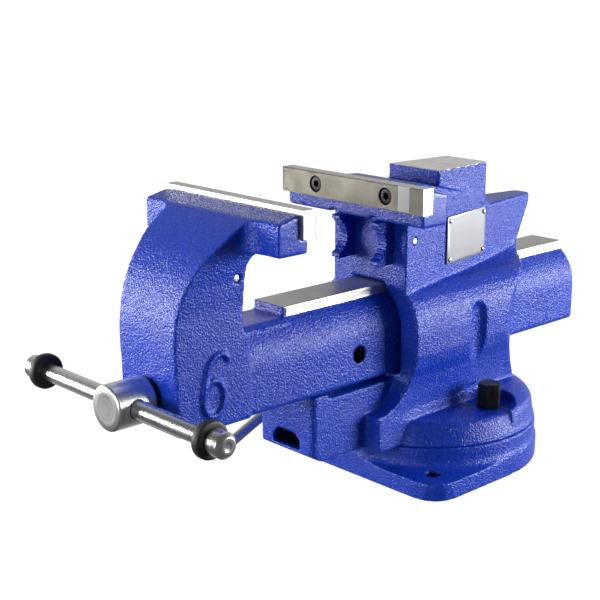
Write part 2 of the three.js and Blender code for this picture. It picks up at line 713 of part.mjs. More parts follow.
function makeHandleEnd(side) {
  const end = side < 0 ? HANDLE.left : HANDLE.right;
  const at = [0, HANDLE_Y, SCREW_Z];
  const outer = end + side * (CAP.length - CAP.socket);
  const inner = outer - side * CAP.length;
  const cap = cut(
    chamferedRod("x", CAP.radius, ...inOrder(inner, outer), CAP.chamfer, at, 28),
    rod("x", HANDLE.radius + GAP, ...inOrder(inner - side, end + side * GAP), at, 24),
  );
  const [near, far] = inOrder(inner - side * GAP, inner - side * (GAP + RING.width));
  const round = 1.2;
  const ring = turn("x", [
    [RING.bore, near],
    [RING.outer - round, near],
    [RING.outer, near + round],
    [RING.outer, far - round],
    [RING.outer - round, far],
    [RING.bore, far],
    [RING.bore, near],
  ], at, 32);
  return { cap, ring };
}

// ---- Swivel lock: a bolt each side, a hexagon nut on the right, a lever nut on the left ----
function makeLockBolt(side) {
  const x = side * SLOT.radius;
  const head = box(x - 10, x + 10, LOCK.y - 10, LOCK.y + 10, SLOT.low + 4, SLOT.ceiling - GAP);
  return join(head, rod("z", LOCK.shank, SLOT.ceiling - 2, FOOT_TOP + 15, [x, LOCK.y, 0]));
}

function makeLockNut() {
  const { y, shank } = LOCK;
  const low = FOOT_TOP - 0.5 + GAP;
  const top = low + 20;
  const flats = 8.6;
  const corner = flats / Math.cos(Math.PI / 6);
  const hexagon = pointsOnArc(SLOT.radius, y, corner, 0, (Math.PI * 5) / 3, 5);
  const crown = turn("z", [
    [0, low - 1],
    [corner + 1, low - 1],
    [corner + 1, top - 1.2],
    [corner - 1.2, top],
    [0, top],
  ], [SLOT.radius, y, 0], 24);
  return cut(
    sweep("z", hexagon, low, top).intersect(crown),
    rod("z", shank + GAP, low - 1, FOOT_TOP + 15 + GAP, [SLOT.radius, y, 0]),
  );
}

const LEVER = { radius: 4.3, z: 60, bendY: -83.5, endY: -166, endZ: 24.4 };

function makeLeverNut() {
  const { y, shank } = LOCK;
  const low = FOOT_TOP - 0.5 + GAP;
  const at = [-SLOT.radius, y, 0];
  return cut(
    chamferedRod("z", 10.5, low, low + 23, 1.2, at, 28),
    rod("z", shank + GAP, low - 1, FOOT_TOP + 15 + GAP, at),
    rod("y", LEVER.radius + GAP, -20, 1.5, [-SLOT.radius, y - 8, LEVER.z]),
  );
}

function makeLever() {
  const x = -SLOT.radius;
  const { z } = LEVER;
  const start = new THREE.Vector3(x, LOCK.y - 7.2, z);
  const bend = new THREE.Vector3(x, LEVER.bendY, z);
  const end = new THREE.Vector3(x, LEVER.endY, LEVER.endZ);
  const beforeBend = bend.clone().lerp(start, 0.2);
  const afterBend = bend.clone().lerp(end, 0.2);
  const path = new THREE.CurvePath();
  path.add(new THREE.LineCurve3(start, beforeBend));
  path.add(new THREE.QuadraticBezierCurve3(beforeBend, bend, afterBend));
  path.add(new THREE.LineCurve3(afterBend, end));
  const section = new THREE.Shape(pointsOnArc(0, 0, LEVER.radius, 0, 2 * Math.PI, 12).slice(0, -1));
  return toSolid(new THREE.ExtrudeGeometry(section, { steps: 20, bevelEnabled: false, extrudePath: path }));
}

// ---- Nut of the main screw ----
function makeSpindleNut() {
  const { halfWidth, front, rear, low, top } = NUT;
  const section = outline([[-halfWidth, low], [halfWidth, low], [halfWidth, top, 6], [-halfWidth, top, 6]]);
  return cut(
    sweep("y", section, front, rear),
    rod("y", SCREW.radius + GAP, front - 1, rear + 1, [0, 0, SCREW_Z], 36),
    rod("z", 4.3, low - 1, 94, [0, (front + rear) / 2, 0]),
  );
}

function makeNutBolt() {
  const at = [0, (NUT.front + NUT.rear) / 2, 0];
  const head = 66 - GAP;
  const profile = [[0, head - 8], [7.5, head - 8], [7.5, head], [4, head], [4, 93], [0, 93]];
  return cut(turn("z", profile, at, 20), rod("z", 3.5, head - 9, head - 4, at, 6));
}

// ---- Small pieces of the main screw, and the pins of the pipe jaws ----
const makeThrustWasher = () =>
  ringAbout("y", SCREW.bore + 0.2, 14.8, SCREW_HEAD.rear + GAP, ARM.front - GAP, [0, 0, SCREW_Z]);

function makeCollar() {
  const rear = collarFront + COLLAR.thick;
  const ring = ringAbout("y", SCREW.radius + GAP, COLLAR.radius, collarFront, rear, [0, 0, SCREW_Z]);
  return cut(ring, rod("z", 2.8, SCREW_Z - 20, SCREW_Z + 20, [0, collarMiddle, 0], 12));
}

const pipePin = (half, y) => rod("x", PIPE_PIN.radius, -half, half, [0, y, PIPE_PIN.z], 16);

// ---- Assembly ----
add("swivel_base", makeBase(), PAINT);
add("pivot_pin", makePivotPin(), PLAIN_STEEL);

add("vise_body", makeBody(), PAINT);
add("rear_jaw_plate", jawPlate(REAR_GRIP_Y, -1), JAW_STEEL);
add("name_plate", makeLabel(), LABEL);
labelCorners().forEach((at, i) => add(`name_plate_rivet_${i + 1}`, makeRivet(at), BRIGHT_ZINC));
add("rear_pipe_jaw_pin", pipePin(37.2, BODY_FRONT + PIPE_PIN.rearDepth), BRIGHT_ZINC);
add("spindle_nut", makeSpindleNut(), BRONZE);
add("spindle_nut_bolt", makeNutBolt(), BLACK_STEEL);

add("moving_jaw", makeMovingJaw(), PAINT);
add("front_jaw_plate", jawPlate(FRONT_GRIP_Y, 1), JAW_STEEL);
add("front_pipe_jaw_pin", pipePin(33.2, ARM.throat - PIPE_PIN.frontDepth), BRIGHT_ZINC);

for (const [name, side] of bothSides) {
  const pipeX = side * PIPE.x;
  add(`rear_jaw_screw_${name}`, plateScrew(side, REAR_GRIP_Y, -1), BLACK_STEEL);
  add(`front_jaw_screw_${name}`, plateScrew(side, FRONT_GRIP_Y, 1), BLACK_STEEL);
  add(`rear_pipe_jaw_${name}`, pipeJaw(pipeX, BODY_FRONT, -1, REAR_PIPE, PIPE_PIN.rearDepth), PAINT);
  add(`front_pipe_jaw_${name}`, pipeJaw(pipeX, ARM.throat, 1, FRONT_PIPE, PIPE_PIN.frontDepth), PAINT);
  add(`lock_bolt_${name}`, makeLockBolt(side), BLACK_STEEL);
  const { cap, ring } = makeHandleEnd(side);
  add(`handle_cap_${name}`, cap, BRIGHT_ZINC);
  add(`handle_ring_${name}`, ring, RUBBER);
}
add("lock_nut", makeLockNut(), BLACK_STEEL);
add("lock_lever_nut", makeLeverNut(), PLAIN_STEEL);
add("lock_lever", makeLever(), BRIGHT_ZINC);

add("spindle", makeSpindle(), BRIGHT_ZINC);
add("thrust_washer", makeThrustWasher(), BLACK_STEEL);
add("spindle_collar", makeCollar(), PLAIN_STEEL);
add("collar_pin", rod("z", 2.5, SCREW_Z - 15, SCREW_Z + 15, [0, collarMiddle, 0], 12), PLAIN_STEEL);
add("handle_bar", makeHandleBar(), BRIGHT_ZINC);

export default root;
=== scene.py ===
"""Looks of the bench vise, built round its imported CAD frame. Lengths in the tables are millimetres."""
import math

import bmesh
import bpy
import numpy as np
from mathutils import Matrix, Vector


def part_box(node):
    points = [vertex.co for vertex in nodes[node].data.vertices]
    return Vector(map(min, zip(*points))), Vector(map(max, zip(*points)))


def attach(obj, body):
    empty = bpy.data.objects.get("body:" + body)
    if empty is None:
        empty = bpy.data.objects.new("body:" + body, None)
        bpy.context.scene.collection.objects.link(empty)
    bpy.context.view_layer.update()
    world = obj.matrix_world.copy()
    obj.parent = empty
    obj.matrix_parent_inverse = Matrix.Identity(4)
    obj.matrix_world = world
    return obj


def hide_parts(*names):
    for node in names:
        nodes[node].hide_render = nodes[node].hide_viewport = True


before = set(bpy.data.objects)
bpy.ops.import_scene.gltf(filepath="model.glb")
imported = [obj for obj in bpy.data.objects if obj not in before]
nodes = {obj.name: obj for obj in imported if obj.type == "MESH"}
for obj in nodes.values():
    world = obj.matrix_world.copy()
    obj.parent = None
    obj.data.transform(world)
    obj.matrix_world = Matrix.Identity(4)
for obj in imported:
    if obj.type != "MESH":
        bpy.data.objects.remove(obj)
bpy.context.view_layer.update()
MM = 0.001
SIDES = (("left", -1), ("right", 1))

SCREW_Z = 110.6
HANDLE_Y = -307.7
SLOT_X, LOCK_Y = 63.5, 4.8
BODY_FRONT, THROAT = -71.6, -228.0
BENCH_X, BENCH_Y, BENCH_REAR_Y = 71.2, -70.3, 106.0
PLATE_SCREW_X, PLATE_SCREW_Z = 37.3, 230.9
PIPE_PIN_Z = 191.5
REAR_GRIP, FRONT_GRIP = -94.7, -201.2
VOXEL = 1.0  # size of the cells that the castings are rebuilt from
CAST_PASSES = 6  # how often a casting is smoothed


# ---------------------------------------------------------------- materials
class Shader:
    """A material with one Principled surface, and short calls for the nodes that feed it."""

    def __init__(self, name):
        self.material = bpy.data.materials.new(name)
        self.material.use_nodes = True
        self.tree = self.material.node_tree
        self.surface = self.tree.nodes["Principled BSDF"]
        self.place = self.tree.nodes.new("ShaderNodeTexCoord").outputs["Object"]

    def feed(self, socket, value):
        if isinstance(value, bpy.types.NodeSocket):
            self.tree.links.new(value, socket)
        elif isinstance(value, (tuple, list)) and len(value) == 3 and socket.type == "RGBA":
            socket.default_value = (*value, 1)
        else:
            socket.default_value = value

    def set(self, **values):
        for name, value in values.items():
            self.feed(self.surface.inputs[name.replace("_", " ")], value)

    def math(self, operation, *values, clamp=False):
        node = self.tree.nodes.new("ShaderNodeMath")
        node.operation = operation
        node.use_clamp = clamp
        for socket, value in zip(node.inputs, values):
            self.feed(socket, value)
        return node.outputs[0]

    def vector(self, operation, *values):
        node = self.tree.nodes.new("ShaderNodeVectorMath")
        node.operation = operation
        for socket, value in zip(node.inputs, values):
            self.feed(socket, value)
        return node.outputs["Value" if operation in ("LENGTH", "DISTANCE") else "Vector"]

    def stretched(self, scale):
        """The place, stretched: a small number along an axis draws the pattern out along it."""
        return self.vector("MULTIPLY", self.place, scale)

    def noise(self, scale, detail=2.0, roughness=0.5, place=None):
        node = self.tree.nodes.new("ShaderNodeTexNoise")
        self.feed(node.inputs["Vector"], place or self.place)
        node.inputs["Scale"].default_value = scale
        node.inputs["Detail"].default_value = detail
        node.inputs["Roughness"].default_value = roughness
        return node.outputs["Fac"]

    def cells(self, scale, smoothness=0.6):
        node = self.tree.nodes.new("ShaderNodeTexVoronoi")
        node.feature = "SMOOTH_F1"
        self.feed(node.inputs["Vector"], self.place)
        node.inputs["Scale"].default_value = scale
        node.inputs["Smoothness"].default_value = smoothness
        return node.outputs["Distance"]

    def between(self, value, low, high, to_low=0.0, to_high=1.0):
        node = self.tree.nodes.new("ShaderNodeMapRange")
        node.interpolation_type = "SMOOTHSTEP"
        for socket, number in zip(node.inputs, (value, low, high, to_low, to_high)):
            self.feed(socket, number)
        return node.outputs[0]

    def mix(self, share, first, second):
        node = self.tree.nodes.new("ShaderNodeMix")
        node.data_type = "RGBA"
        self.feed(node.inputs["Factor"], share)
        self.feed(node.inputs[6], first)
        self.feed(node.inputs[7], second)
        return node.outputs[2]

    def blend(self, share, first, second):
        node = self.tree.nodes.new("ShaderNodeMix")
        self.feed(node.inputs["Factor"], share)
        self.feed(node.inputs[2], first)
        self.feed(node.inputs[3], second)
        return node.outputs[0]

    def bump(self, height, distance_mm, strength=1.0, below=None):
        node = self.tree.nodes.new("ShaderNodeBump")
        self.feed(node.inputs["Height"], height)
        self.feed(node.inputs["Strength"], strength)
        node.inputs["Distance"].default_value = distance_mm * MM
        if below is not None:
            self.feed(node.inputs["Normal"], below)
        return node.outputs[0]

    def inside(self, low, high):
        """1 inside a box given by two corners in millimetres, 0 outside."""
        low, high = Vector(low) * MM, Vector(high) * MM
        offset = self.vector("SUBTRACT", self.place, tuple((low + high) / 2))
        share = self.vector("ABSOLUTE", self.vector("DIVIDE", offset, tuple((high - low) / 2)))
        split = self.tree.nodes.new("ShaderNodeSeparateXYZ")
        self.feed(split.inputs[0], share)
        x, y, z = split.outputs
        largest = self.math("MAXIMUM", self.math("MAXIMUM", x, y), z)
        return self.math("LESS_THAN", largest, 1.0)

    def any_of(self, masks):
        total = masks[0]
        for mask in masks[1:]:
            total = self.math("MAXIMUM", total, mask)
        return total

    def edges(self, low, high):
        """1 on convex edges of a dense mesh, 0 on flats."""
        return self.between(self.tree.nodes.new("ShaderNodeNewGeometry").outputs["Pointiness"], low, high)


BLUE_DEEP = (0.002, 0.024, 0.30)
BLUE = (0.004, 0.054, 0.60)
BLUE_LIGHT = (0.006, 0.064, 0.64)
STEEL_WARM = (0.60, 0.585, 0.55)
STEEL_BRIGHT = (0.80, 0.785, 0.765)


def painted_casting(name, bare=(), bright=(), faded=(), smooth=(), painted_bore_shade=(), bright_tone=STEEL_BRIGHT):
    """Gloss blue paint over sand-cast grain. The boxes pick out machined faces (bare or bright steel, thin worn
    paint, smooth paint) and bores painted near black as painted shade."""
    s = Shader(name)
    grain = s.noise(880, detail=2.0, roughness=0.5)
    pits = s.cells(680)
    swell = s.noise(70, detail=2.0)
    patch = s.noise(16, detail=3.0, roughness=0.6)
    relief = s.math("ADD", s.math("MULTIPLY", grain, 0.9), s.math("MULTIPLY", pits, 0.55))
    blue = s.mix(s.between(relief, 0.40, 0.95), BLUE_DEEP, BLUE)
    blue = s.mix(s.between(patch, 0.35, 0.75, 0.0, 0.35), blue, BLUE_LIGHT)
    roughness = s.between(grain, 0.3, 0.7, 0.20, 0.30)
    metal_share = 0.0
    rough_relief = 1.0
    marks = s.noise(1.0, detail=2.0, place=s.stretched((2400, 60, 2400)))
    if faded:
        thin = s.any_of([s.inside(*b) for b in faded])
        wear = s.mix(s.between(marks, 0.3, 0.7), (0.10, 0.14, 0.55), (0.24, 0.28, 0.66))
        blue = s.mix(thin, blue, wear)
        rough_relief = s.math("SUBTRACT", rough_relief, s.math("MULTIPLY", thin, 0.5))
    # painted shade: near-black colour in these boxes stands in for the shade inside bores and the nose window
    if painted_bore_shade:
        blue = s.mix(s.any_of([s.inside(*b) for b in painted_bore_shade]), blue, (0.003, 0.006, 0.04))
    if smooth:
        flat = s.any_of([s.inside(*b) for b in smooth])
        rough_relief = s.math("SUBTRACT", rough_relief, s.math("MULTIPLY", flat, 0.85), clamp=True)
    for boxes, tone in ((bare, STEEL_WARM), (bright, bright_tone)):
        if not boxes:
            continue
        share = s.any_of([s.inside(*b) for b in boxes])
        dull = tuple(c * 0.72 for c in tone)
        steel = s.mix(s.between(marks, 0.35, 0.65), dull, tone)
        stain = s.between(s.noise(45, detail=4.0, roughness=0.65), 0.45, 0.75, 0.0, 0.5)
        steel = s.mix(stain, steel, tuple(c * 0.6 for c in tone))
        blue = s.mix(share, blue, steel)
        metal_share = s.math("MAXIMUM", metal_share, share)
        rough_relief = s.math("SUBTRACT", rough_relief, share, clamp=True)
    if bare or bright:
        roughness = s.blend(metal_share, roughness, s.between(marks, 0.2, 0.8, 0.28, 0.48))
        s.set(Metallic=s.math("MULTIPLY", metal_share, 0.9))
    wavy = s.bump(swell, 0.9, 0.32)
    grainy = s.bump(relief, 0.74, s.math("MULTIPLY", rough_relief, 0.95), below=wavy)
    s.set(Base_Color=blue, Roughness=roughness, Normal=grainy)
    s.surface.inputs["Specular IOR Level"].default_value = 0.44
    return s.material


def turned_metal(name, tone, roughness, axis, centre, marks, dull=0.75):
    """Steel turned on a lathe about an axis (0 x, 1 y, 2 z) through a centre: fine rings round it and circles
    on its end faces."""
    s = Shader(name)
    offset = s.vector("SUBTRACT", s.place, tuple(c * MM for c in centre))
    flat_scale = [1.0, 1.0, 1.0]
    flat_scale[axis] = 0.0
    along_scale = [0.0, 0.0, 0.0]
    along_scale[axis] = 1.0
    radius = s.vector("LENGTH", s.vector("MULTIPLY", offset, tuple(flat_scale)))
    split = s.tree.nodes.new("ShaderNodeSeparateXYZ")
    s.feed(split.inputs[0], offset)
    both = s.tree.nodes.new("ShaderNodeCombineXYZ")
    s.feed(both.inputs[0], s.math("MULTIPLY", radius, 2300.0))
    s.feed(both.inputs[1], s.math("MULTIPLY", split.outputs[axis], 2300.0))
    rings = s.noise(1.0, detail=2.0, place=both.outputs[0])
    smear = s.noise(60, detail=3.0, roughness=0.6)
    colour = s.mix(s.between(rings, 0.35, 0.65), tuple(c * dull for c in tone), tone)
    colour = s.mix(s.between(smear, 0.4, 0.8, 0.0, 0.35), colour, tuple(c * 0.7 for c in tone))
    texture = s.math("ADD", s.math("MULTIPLY", rings, 0.6), s.math("MULTIPLY", smear, 0.4))
    s.set(
        Base_Color=colour,
        Metallic=1.0,
        Roughness=s.between(texture, 0.3, 0.7, *roughness),
        Normal=s.bump(rings, 0.03, marks),
    )
    return s.material


def ground_steel(name, tone, roughness, lines, dull=0.7, metallic=1.0, stain=0.4, relief=0.5):
    """Ground or drawn steel: fine lines along one axis, with faint stains."""
    s = Shader(name)
    marks = s.noise(1.0, detail=3.0, place=s.stretched(lines))
    spots = s.noise(80, detail=4.0, roughness=0.65)
    colour = s.mix(s.between(marks, 0.3, 0.7), tuple(c * dull for c in tone), tone)
    colour = s.mix(s.between(spots, 0.45, 0.75, 0.0, stain), colour, tuple(c * 0.5 for c in tone))
    s.set(
        Base_Color=colour,
        Metallic=metallic,
        Roughness=s.between(marks, 0.2, 0.8, *roughness),
        Normal=s.bump(marks, 0.04, relief),
    )
    return s.material


def knurled_steel(name, grip, direction):
    """Jaw plate steel: brown-grey and dull on the knurled face, with painted shade deeper in the knurl grooves,
    bright on the ground sides and in the ground band near one end."""
    s = Shader(name)
    split = s.tree.nodes.new("ShaderNodeSeparateXYZ")
    s.feed(split.inputs[0], s.place)
    depth = s.math("MULTIPLY", s.math("SUBTRACT", split.outputs[1], grip * MM), float(-direction))
    face = s.math("LESS_THAN", depth, 0.62 * MM)
    band = s.inside((50.5, grip - 2, 200), (62.3, grip + 2, 260))
    marks = s.noise(1.0, detail=3.0, place=s.stretched((150, 150, 1900)))
    grime = s.noise(260, detail=4.0, roughness=0.7)
    blotch = s.noise(35, detail=3.0)
    bright = s.mix(s.between(marks, 0.3, 0.7), (0.50, 0.50, 0.50), (0.60, 0.60, 0.59))
    brown = s.mix(s.between(grime, 0.38, 0.66), (0.12, 0.11, 0.08), (0.27, 0.26, 0.20))
    crests = s.mix(0.35, brown, (0.36, 0.345, 0.28))
    # painted shade: the knurl grooves darken the deeper they are cut
    brown = s.mix(s.between(depth, 0.06 * MM, 0.40 * MM, 0.0, 0.8), crests, (0.13, 0.11, 0.08))
    brown = s.mix(s.between(blotch, 0.4, 0.7, 0.0, 0.3), brown, (0.60, 0.56, 0.46))
    brown = s.mix(s.math("MULTIPLY", band, 0.75), brown, (0.34, 0.36, 0.355))
    s.set(
        Base_Color=s.mix(face, bright, brown),
        Metallic=s.blend(face, 0.85, 0.55),
        Roughness=s.blend(
            face, s.between(marks, 0.2, 0.8, 0.22, 0.4), s.between(grime, 0.3, 0.7, 0.42, 0.62)
        ),
        Normal=s.bump(s.blend(face, s.math("MULTIPLY", marks, 0.15), grime), 0.06, 0.6),
    )
    return s.material


def black_oxide(name):
    """Blackened steel with a faint oily variation and edges rubbed brighter."""
    s = Shader(name)
    spots = s.noise(220, detail=4.0, roughness=0.6)
    wide = s.noise(1.0, detail=2.0, place=s.stretched((500, 500, 500)))
    tone = s.mix(s.between(spots, 0.35, 0.7), (0.006, 0.006, 0.008), (0.018, 0.018, 0.021))
    worn = s.math("MULTIPLY", s.edges(0.52, 0.6), s.between(wide, 0.55, 0.8, 0.0, 0.6))
    s.set(
        Base_Color=s.mix(worn, tone, (0.35, 0.34, 0.33)),
        Metallic=0.6,
        Roughness=s.between(spots, 0.3, 0.7, 0.32, 0.5),
        Normal=s.bump(spots, 0.08, 0.5),
    )
    return s.material


def moulded_rubber(name):
    s = Shader(name)
    fine = s.noise(900, detail=3.0)
    cloud = s.noise(90, detail=3.0)
    tone = s.mix(s.between(cloud, 0.35, 0.7), (0.010, 0.010, 0.010), (0.030, 0.030, 0.031))
    s.set(
        Base_Color=tone,
        Roughness=s.between(cloud, 0.3, 0.7, 0.42, 0.58),
        Normal=s.bump(fine, 0.08, 0.5),
    )
    return s.material


def rough_iron(name):
    s = Shader(name)
    grain = s.noise(500, detail=4.0, roughness=0.6)
    oil = s.noise(60, detail=3.0)
    tone = s.mix(s.between(grain, 0.35, 0.65), (0.10, 0.095, 0.09), (0.26, 0.25, 0.235))
    tone = s.mix(s.between(oil, 0.45, 0.7, 0.0, 0.5), tone, (0.05, 0.04, 0.03))
    s.set(
        Base_Color=tone,
        Metallic=0.6,
        Roughness=s.between(oil, 0.3, 0.7, 0.35, 0.65),
        Normal=s.bump(grain, 0.4, 0.7),
    )
    return s.material


def pale_floor(name):
    s = Shader(name)
    cloud = s.noise(3.0, detail=2.0)
    s.set(
        Base_Color=s.mix(cloud, (0.30, 0.30, 0.31), (0.33, 0.33, 0.34)),
        Roughness=0.6,
        Emission_Color=(1.0, 1.0, 1.0),
    )
    s.surface.inputs["Emission Strength"].default_value = 0.93
    return s.material


# ---------------------------------------------------------------- meshes
def new_object(name, mesh):
    piece = bpy.data.objects.new(name, mesh)
    bpy.context.scene.collection.objects.link(piece)
    return piece


def evaluated(piece):
    """Replaces the piece's mesh by the result of its modifiers."""
    bpy.context.view_layer.update()
    mesh = bpy.data.meshes.new_from_object(piece.evaluated_get(bpy.context.evaluated_depsgraph_get()))
    piece.modifiers.clear()
    old = piece.data
    piece.data = mesh
    bpy.data.meshes.remove(old)


def mesh_from(name, vertices, faces):
    mesh = bpy.data.meshes.new(name)
    mesh.from_pydata([tuple(c * MM for c in v) for v in vertices], [], faces)
    mesh.update()
    return mesh


def outward(mesh):
    work = bmesh.new()
    work.from_mesh(mesh)
    bmesh.ops.recalc_face_normals(work, faces=work.faces)
    work.to_mesh(mesh)
    work.free()


def smooth_shading(mesh, angle=35):
    mesh.shade_smooth()
    mesh.set_sharp_from_angle(angle=math.radians(angle))


def finish_piece(piece, body, material, slot, *replaced):
    piece.data.materials.clear()
    piece.data.materials.append(material)
    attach(piece, body)
    if replaced:
        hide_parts(*replaced)
    return piece


def soften(profile, radius, steps=3):
    """Rounds the corners between the two ends of an open profile of (r, h) points by about radius."""
    points = [np.array(p, float) for p in profile]
    result = [points[0]]
    for before, corner, after in zip(points, points[1:], points[2:]):
        back, on = before - corner, after - corner
        reach = min(radius, np.linalg.norm(back) * 0.45, np.linalg.norm(on) * 0.45)
        start = corner + back / np.linalg.norm(back) * reach
        end = corner + on / np.linalg.norm(on) * reach
        for k in range(steps + 1):
            t = k / steps
            result.append((1 - t) ** 2 * start + 2 * t * (1 - t) * corner + t ** 2 * end)
    result.append(points[-1])
    return [tuple(p) for p in result]


def lathe_mesh(name, profile, axis="z", at=(0, 0, 0), sides=96):
    """A closed turned solid. A profile that starts and ends on the axis is capped, and any other is closed
    on itself."""
    to_place = {
        "x": lambda r, h, c, s: (h, r * c, r * s),
        "y": lambda r, h, c, s: (r * s, h, r * c),
        "z": lambda r, h, c, s: (r * c, r * s, h),
    }[axis]
    capped = profile[0][0] == 0 and profile[-1][0] == 0
    rows = profile[1:-1] if capped else profile
    vertices = []
    for r, h in rows:
        for k in range(sides):
            a = 2 * math.pi * k / sides
            x, y, z = to_place(r, h, math.cos(a), math.sin(a))
            vertices.append((x + at[0], y + at[1], z + at[2]))
    faces = []
    count = len(rows)
    for i in range(count - 1 if capped else count):
        for k in range(sides):
            n = (k + 1) % sides
            j = (i + 1) % count
            faces.append((i * sides + k, i * sides + n, j * sides + n, j * sides + k))
    if capped:
        faces.append(tuple(range(sides - 1, -1, -1)))
        faces.append(tuple(range((count - 1) * sides, count * sides)))
    mesh = mesh_from(name, vertices, faces)
    outward(mesh)
    return mesh


def turned(name, profile, axis, at, radius, sides=96):
    mesh = lathe_mesh(name, soften(profile, radius), axis, at, sides)
    smooth_shading(mesh)
    return new_object(name, mesh)


def rod_profile(radius, low, high, chamfer=0.0):
    if not chamfer:
        return [(0, low), (radius, low), (radius, high), (0, high)]
    return [
        (0, low), (radius - chamfer, low), (radius, low + chamfer),
        (radius, high - chamfer), (radius - chamfer, high), (0, high),
    ]


def cutter(axis, radius, low, high, at, sides=64):
    return new_object("cutter", lathe_mesh("cutter", rod_profile(radius, low, high), axis, at, sides))


def carve(piece, *cutters, angle=35):
    for tool in cutters:
        step = piece.modifiers.new("cut", "BOOLEAN")
        step.operation = "DIFFERENCE"
        step.solver = "EXACT"
        step.object = tool
    evaluated(piece)
    for tool in cutters:
        mesh = tool.data
        bpy.data.objects.remove(tool)
        bpy.data.meshes.remove(mesh)
    smooth_shading(piece.data, angle)
    return piece


def prism(name, outline, low, high, axis="x"):
    """An outline of (u, v) points extruded along an axis: (y, z) for x, (x, z) for y, (x, y) for z."""
    to_place = {
        "x": lambda u, v, h: (h, u, v),
        "y": lambda u, v, h: (u, h, v),
        "z": lambda u, v, h: (u, v, h),
    }[axis]
    count = len(outline)
    vertices = [to_place(u, v, h) for h in (low, high) for u, v in outline]
    faces = [(i, (i + 1) % count, count + (i + 1) % count, count + i) for i in range(count)]
    faces += [tuple(range(count)), tuple(range(2 * count - 1, count - 1, -1))]
    mesh = mesh_from(name, vertices, faces)
    outward(mesh)
    return new_object(name, mesh)


def bevelled(piece, width, segments=2, angle=30):
    step = piece.modifiers.new("bevel", "BEVEL")
    step.width = width * MM
    step.segments = segments
    step.limit_method = "ANGLE"
    step.angle_limit = math.radians(angle)
    evaluated(piece)
    smooth_shading(piece.data, 40)
    return piece


def tube_mesh(name, path, radius, sides=32, ends=6):
    """A round bar along a path of points, with domed ends."""
    points = [Vector(p) for p in path]
    last = len(points) - 1
    directions = [(points[min(i + 1, last)] - points[max(i - 1, 0)]).normalized() for i in range(last + 1)]
    rings = []
    for k in range(ends, 0, -1):
        a = math.pi / 2 * k / (ends + 0.5)
        tip = points[0] - directions[0] * radius * math.sin(a)
        rings.append((tip, directions[0], radius * math.cos(a)))
    rings += [(p, d, radius) for p, d in zip(points, directions)]
    for k in range(1, ends + 1):
        a = math.pi / 2 * k / (ends + 0.5)
        tip = points[-1] + directions[-1] * radius * math.sin(a)
        rings.append((tip, directions[-1], radius * math.cos(a)))
    vertices = []
    side = Vector((1, 0, 0))
    for centre, direction, r in rings:
        side = (side - direction * side.dot(direction)).normalized()
        other = direction.cross(side)
        for k in range(sides):
            a = 2 * math.pi * k / sides
            vertices.append(tuple(centre + (side * math.cos(a) + other * math.sin(a)) * r))
    faces = []
    for i in range(len(rings) - 1):
        for k in range(sides):
            n = (k + 1) % sides
            faces.append((i * sides + k, i * sides + n, (i + 1) * sides + n, (i + 1) * sides + k))
    faces.append(tuple(range(sides - 1, -1, -1)))
    faces.append(tuple(range((len(rings) - 1) * sides, len(rings) * sides)))
    mesh = mesh_from(name, vertices, faces)
    outward(mesh)
    return mesh


# ---------------------------------------------------------------- castings
def rebuilt_casting(node, crisp, extras=()):
    """The CAD casting rebuilt from fine cells, with its cast edges and inner corners rounded. crisp(points)
    is 1 where machined."""
    work = bmesh.new()
    work.from_mesh(nodes[node].data)
    for mesh in extras:
        work.from_mesh(mesh)
    mesh = bpy.data.meshes.new(node + "_casting")
    work.to_mesh(mesh)
    work.free()
    piece = new_object(node + "_casting", mesh)
    step = piece.modifiers.new("cells", "REMESH")
    step.mode = "VOXEL"
    step.voxel_size = VOXEL * MM
    evaluated(piece)
    mesh = piece.data
    count = len(mesh.vertices)
    points = np.zeros(count * 3)
    mesh.vertices.foreach_get("co", points)
    points = points.reshape(-1, 3)
    ends = np.zeros(len(mesh.edges) * 2, np.int64)
    mesh.edges.foreach_get("vertices", ends)
    a, b = ends.reshape(-1, 2).T
    links = np.maximum(np.bincount(np.concatenate([a, b]), minlength=count), 1)
    pull = 0.5 * (1 - crisp(points / MM))
    for turn in range(CAST_PASSES):
        weight = 0.5 if turn < 2 else pull  # the first passes take the steps of the cells off everywhere
        for c in range(3):
            total = np.bincount(a, points[b, c], count) + np.bincount(b, points[a, c], count)
            points[:, c] += weight * (total / links - points[:, c])
    low, high = (np.array(corner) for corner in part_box(node))
    points = np.clip(points, low, high)
    mesh.vertices.foreach_set("co", points.ravel())
    mesh.update()
    mesh.shade_smooth()
    return piece


def in_box(points, low, high):
    return np.all((points >= np.array(low)) & (points <= np.array(high)), axis=1)


def crisp_where(*boxes):
    def share(points):
        found = np.zeros(len(points), bool)
        for low, high in boxes:
            found |= in_box(points, low, high)
        return found.astype(float)
    return share


PLUG_RADIUS, PLUG_START, PLUG_END = 4.6, 12.5, 21.0  # the last two are depths behind the gripping face


def bore_plugs(grip, direction):
    """Plugs that close the bores of the plate screws in the casting, which the screws fill."""
    low, high = sorted((grip - direction * PLUG_START, grip - direction * PLUG_END))
    plug = rod_profile(PLUG_RADIUS, low, high)
    return [lathe_mesh("plug", plug, "y", (side * PLATE_SCREW_X, 0, PLATE_SCREW_Z), 32) for _, side in SIDES]


def flowing(points, steps=6):
    """A smooth line through a list of points."""
    padded = [points[0], *points, points[-1]]
    line = []
    for i in range(1, len(padded) - 2):
        p = [np.array(padded[i + k], float) for k in (-1, 0, 1, 2)]
        for t in np.linspace(0, 1, steps, endpoint=False):
            line.append(0.5 * (
                2 * p[1]
                + (p[2] - p[0]) * t
                + (2 * p[0] - 5 * p[1] + 4 * p[2] - p[3]) * t ** 2
                + (3 * p[1] - p[0] - 3 * p[2] + p[3]) * t ** 3
            ))
    return [tuple(q) for q in line] + [tuple(points[-1])]


